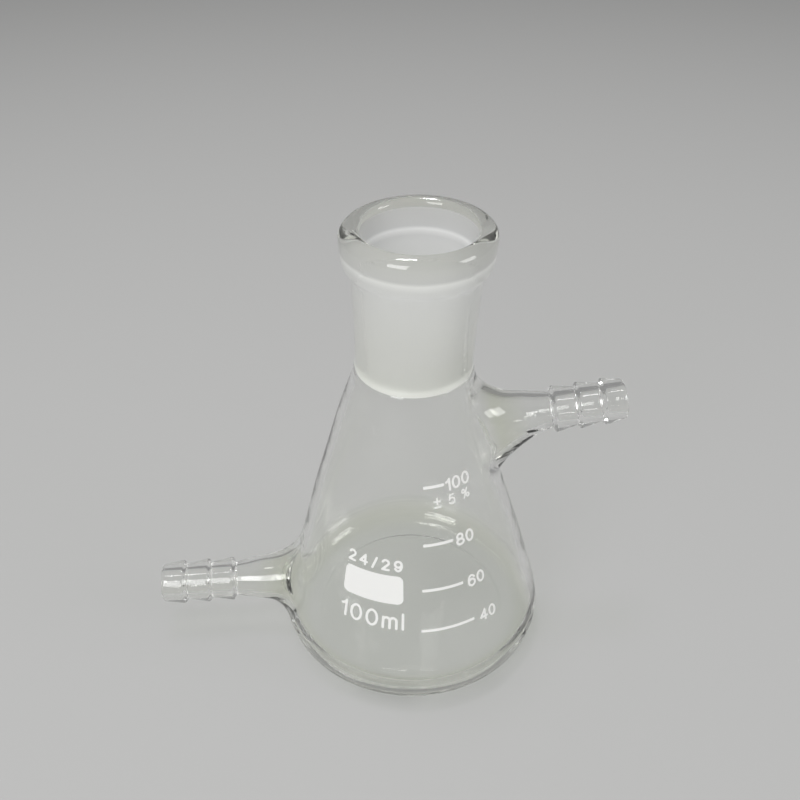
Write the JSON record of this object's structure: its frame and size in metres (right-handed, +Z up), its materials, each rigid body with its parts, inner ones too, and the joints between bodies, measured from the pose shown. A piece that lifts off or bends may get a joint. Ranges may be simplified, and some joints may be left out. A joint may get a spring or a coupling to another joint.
{
  "type": "filter flask",
  "caption": "Conical glass filter flask with a ground taper socket, a rolled collar and two barbed hose nozzles, one low and one high.",
  "frame": {"origin": "centre of the circle that the flask stands on", "axes": "+Z up along the flask's axis; +X towards the nozzle near the neck, and -X towards the nozzle near the base"},
  "size_m": [0.1134, 0.066, 0.1109],
  "materials": {
    "glass": "clear fire-polished borosilicate glass",
    "ground_glass": "fine-ground matt glass inside the socket",
    "print": "white enamel, fired on"
  },
  "bodies": {
    "root": {"flask": "glass"}
  },
  "joints": []
}
